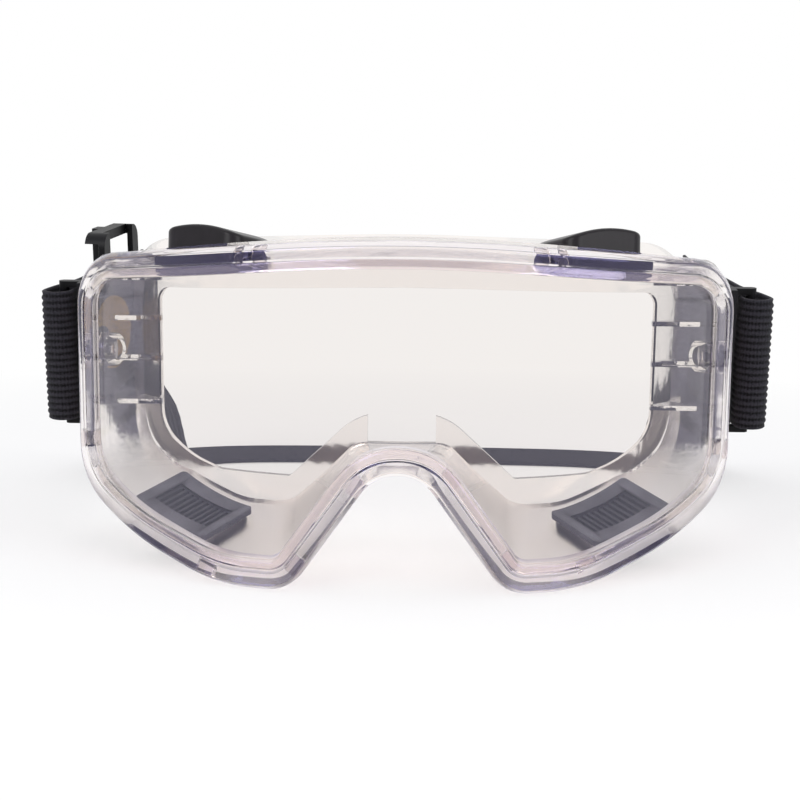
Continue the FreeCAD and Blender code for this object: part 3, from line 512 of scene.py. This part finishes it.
def joined_corners(mesh):
    """Corners of a mesh with doubles made one, and for each the corners that an edge joins to it."""
    numbers, corners, owner = {}, [], []
    for vertex in mesh.vertices:
        key = tuple(round(c / (WELD * MM)) for c in vertex.co)
        if key not in numbers:
            numbers[key] = len(corners)
            corners.append(vertex.co.copy())
        owner.append(numbers[key])
    neighbours = {}
    for edge in mesh.edges:
        a, b = owner[edge.vertices[0]], owner[edge.vertices[1]]
        if a != b:
            neighbours.setdefault(a, set()).add(b)
            neighbours.setdefault(b, set()).add(a)
    return corners, neighbours


def partners(corners, neighbours, length, slack):
    """For each corner that has one, the neighbour that lies one length away."""
    return {a: b for a, others in neighbours.items() for b in others
            if abs((corners[a] - corners[b]).length - length * MM) < slack * MM}


def band_sections(node):
    """Centre, width direction and thickness direction of each section of the CAD band, in order."""
    corners, neighbours = joined_corners(node.data)
    thin = partners(corners, neighbours, STRAP_THICK, THICK_SLACK)
    wide = partners(corners, neighbours, STRAP_WIDTH, WIDTH_SLACK)
    sections, owner = [], {}
    for a in thin:
        if a in owner or a not in wide or wide[a] not in thin:
            continue
        four = (a, thin[a], wide[a], thin[wide[a]])
        for corner in four:
            owner[corner] = len(sections)
        at_a, at_b, at_c, at_d = (corners[i] for i in four)
        across = ((at_a + at_b) - (at_c + at_d)).normalized()
        sections.append(((at_a + at_b + at_c + at_d) / 4, across, (at_a - at_b).normalized()))
    beside = {}
    for a, others in neighbours.items():
        for b in others:
            if a in owner and b in owner and owner[a] != owner[b]:
                beside.setdefault(owner[a], set()).add(owner[b])
    ends = [i for i in beside if len(beside[i]) == 1]
    order = [min(ends, key=lambda i: sections[i][0].x)]
    while following := [i for i in beside[order[-1]] if i not in order]:
        order.append(following[0])
    return [sections[i] for i in order]


def aligned(sections):
    """Keeps the width and thickness directions from flipping between neighbours."""
    result = [sections[0]]
    for centre, across, through in sections[1:]:
        _, last_across, last_through = result[-1]
        if across.dot(last_across) < 0:
            across = -across
        if through.dot(last_through) < 0:
            through = -through
        result.append((centre, across, through))
    return result


def spline(a, b, c, d, t):
    """Catmull-Rom point between b and c."""
    return 0.5 * ((2 * b) + (c - a) * t + (2 * a - 5 * b + 4 * c - d) * t * t
                  + (3 * b - a - 3 * c + d) * t ** 3)


def even_stations(sections):
    """Sections at even steps along a smooth line through the CAD's, with their distance along it."""
    result = []
    distance = 0.0
    last = len(sections) - 1
    for i in range(last):
        a, b = sections[max(i - 1, 0)], sections[i]
        c, d = sections[i + 1], sections[min(i + 2, last)]
        gap = (c[0] - b[0]).length
        steps = max(1, round(gap / (STATION_GAP * MM)))
        for k in range(steps):
            t = k / steps
            centre = spline(a[0], b[0], c[0], d[0], t)
            across = b[1].lerp(c[1], t).normalized()
            through = b[2].lerp(c[2], t).normalized()
            result.append((centre, across, through, distance + gap * t))
        distance += gap
    result.append(sections[-1] + (distance,))
    return result


def band_ring():
    """Section of the band in metres, as distances across it and through it: ribs between selvedges."""
    half = STRAP_WIDTH / 2 * MM
    skin = STRAP_THICK / 2 * MM
    ring = [(half - inward * MM, skin * share) for inward, share in SELVEDGE_ROUND]
    count = RIBS * POINTS_PER_RIB
    for k in range(count + 1):
        share = k / count
        wave = 0.5 - 0.5 * math.cos(2 * math.pi * share * RIBS)
        ring.append(((half - SELVEDGE * MM) * (1 - 2 * share), skin - RIB_HEIGHT * MM * (1 - wave)))
    return ring + [(-across, -through) for across, through in ring]


def build_band():
    """Ribbed elastic band: cords run lengthwise between two smooth selvedges."""
    stations = even_stations(aligned(band_sections(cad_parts["elastic_strap"])))
    ring = band_ring()
    points, uvs = [], []
    for centre, across, through, distance in stations:
        for a, t in ring:
            points.append(centre + across * a + through * t)
            uvs.append((distance, a))
    size = len(ring)
    faces = []
    for i in range(len(stations) - 1):
        for k in range(size):
            n = (k + 1) % size
            faces.append((i * size + k, i * size + n, (i + 1) * size + n, (i + 1) * size + k))
    faces.append(tuple(range(size)))
    faces.append(tuple(range((len(stations) - 1) * size, len(stations) * size)))
    band = mesh_object("woven_band", points, faces, uvs)
    outward(band)
    shade(band, BAND_CREASE)
    finish_piece(band, WEBBING, "headband", "elastic_webbing", "elastic_strap")


# ------------------------------------------------------------------ build

build_rim()
build_band()
paint("lens", POLYCARBONATE)
paint("frame_shell", SOFT_PVC)
paint("face_flange", SEAL_PVC, soften=0.5)
paint("bezel_snap_tabs", CLEAR_FITTING)
paint("locating_pins", CLEAR_FITTING)
for side in ("left", "right"):
    for level in ("upper", "lower"):
        paint(level + "_vent_hood_" + side, BLACK_HOOD)
        paint(level + "_vent_grille_" + side, VENT_GREY if level == "lower" else BLACK_HOOD, soften=0.35)
    paint("strap_clip_" + side, BLACK_NYLON, soften=0.45)
    paint("pivot_pin_" + side, CLEAR_FITTING)
    paint("pivot_cap_" + side, CLEAR_FITTING)
paint("strap_slider", BLACK_NYLON, soften=0.5)
paint("strap_stitching", WEBBING)       # sewn in the webbing's own yarn
paint("clip_label", TAN_LABEL)


# ------------------------------------------------------------------ studio

def build_floor():
    """White sweep that keeps the object's shadow and is pure white further out."""
    corners = [(x * FLOOR_HALF, y * FLOOR_HALF, 0) for x, y in ((-1, -1), (1, -1), (1, 1), (-1, 1))]
    floor = mesh_object("floor", corners, [(0, 1, 2, 3)])
    material, tree = fresh("matt_white_sweep")
    matt = add(tree, "ShaderNodeBsdfDiffuse", {"Color": linear("#fdfdfd")})
    white = add(tree, "ShaderNodeEmission", {"Color": linear("#ffffff"), "Strength": 1.0})
    away = add(tree, "ShaderNodeVectorMath", {"operation": "LENGTH"},
               {0: add(tree, "ShaderNodeTexCoord").outputs["Object"]}).outputs["Value"]
    fade = add(tree, "ShaderNodeMapRange",
               {"From Min": FADE_FROM, "From Max": FADE_TO, "To Min": FADE_LEAST, "To Max": 1.0},
               {"Value": away})
    shown = add(tree, "ShaderNodeMixShader", links={0: fade, 1: matt, 2: white})
    both = add(tree, "ShaderNodeMixShader", links={0: seen_directly(tree), 1: matt, 2: shown})
    add(tree, "ShaderNodeOutputMaterial", links={"Surface": both})
    floor.data.materials.append(material)


def build_world():
    """White room to the eye, in clear plastic and in gloss; a plainer level for the light it gives."""
    world = bpy.data.worlds.new("studio")
    bpy.context.scene.world = world
    world.use_nodes = True
    tree = world.node_tree
    tree.nodes.clear()
    bright = add(tree, "ShaderNodeBackground", {"Color": linear("#ffffff"), "Strength": ROOM_SEEN})
    plain = add(tree, "ShaderNodeBackground", {"Color": linear("#fbfbff"), "Strength": ROOM_LIGHT})
    both = add(tree, "ShaderNodeMixShader", links={0: seen_directly(tree), 1: plain, 2: bright})
    add(tree, "ShaderNodeOutputWorld", links={"Surface": both})


def build_lamps():
    """Three soft boxes, all turned to the middle of the object."""
    for name, place, size, watts in LAMPS:
        lamp = bpy.data.lights.new(name, "AREA")
        lamp.shape = "RECTANGLE"
        lamp.size, lamp.size_y = size
        lamp.energy = watts
        made = bpy.data.objects.new(name, lamp)
        made.location = place
        made.rotation_euler = (Vector(LAMP_TARGET) - Vector(place)).to_track_quat("-Z", "Y").to_euler()
        bpy.context.scene.collection.objects.link(made)


def build_camera():
    """Looks at the lens from just above its level, a little from the +X side."""
    azimuth, elevation, roll = (math.radians(a) for a in (AZIMUTH, ELEVATION, ROLL))
    back = Vector((math.sin(azimuth) * math.cos(elevation), -math.cos(azimuth) * math.cos(elevation),
                   math.sin(elevation)))
    level = Vector((math.cos(azimuth), math.sin(azimuth), 0))
    upright = back.cross(level)
    right = level * math.cos(roll) + upright * math.sin(roll)
    up = upright * math.cos(roll) - level * math.sin(roll)
    camera = bpy.data.cameras.new("camera")
    camera.sensor_width = SENSOR_MM
    camera.lens = FOCAL_MM
    made = bpy.data.objects.new("camera", camera)
    turned = Matrix((right, up, back)).transposed().to_4x4()
    made.matrix_world = Matrix.Translation(AIM + back * DISTANCE) @ turned
    bpy.context.scene.collection.objects.link(made)
    bpy.context.scene.camera = made


build_floor()
build_world()
build_lamps()
build_camera()
scene = bpy.context.scene
scene.view_settings.view_transform = "Standard"
scene.cycles.max_bounces = LIGHT_BOUNCES
scene.cycles.transmission_bounces = LIGHT_BOUNCES
scene.cycles.transparent_max_bounces = LIGHT_BOUNCES
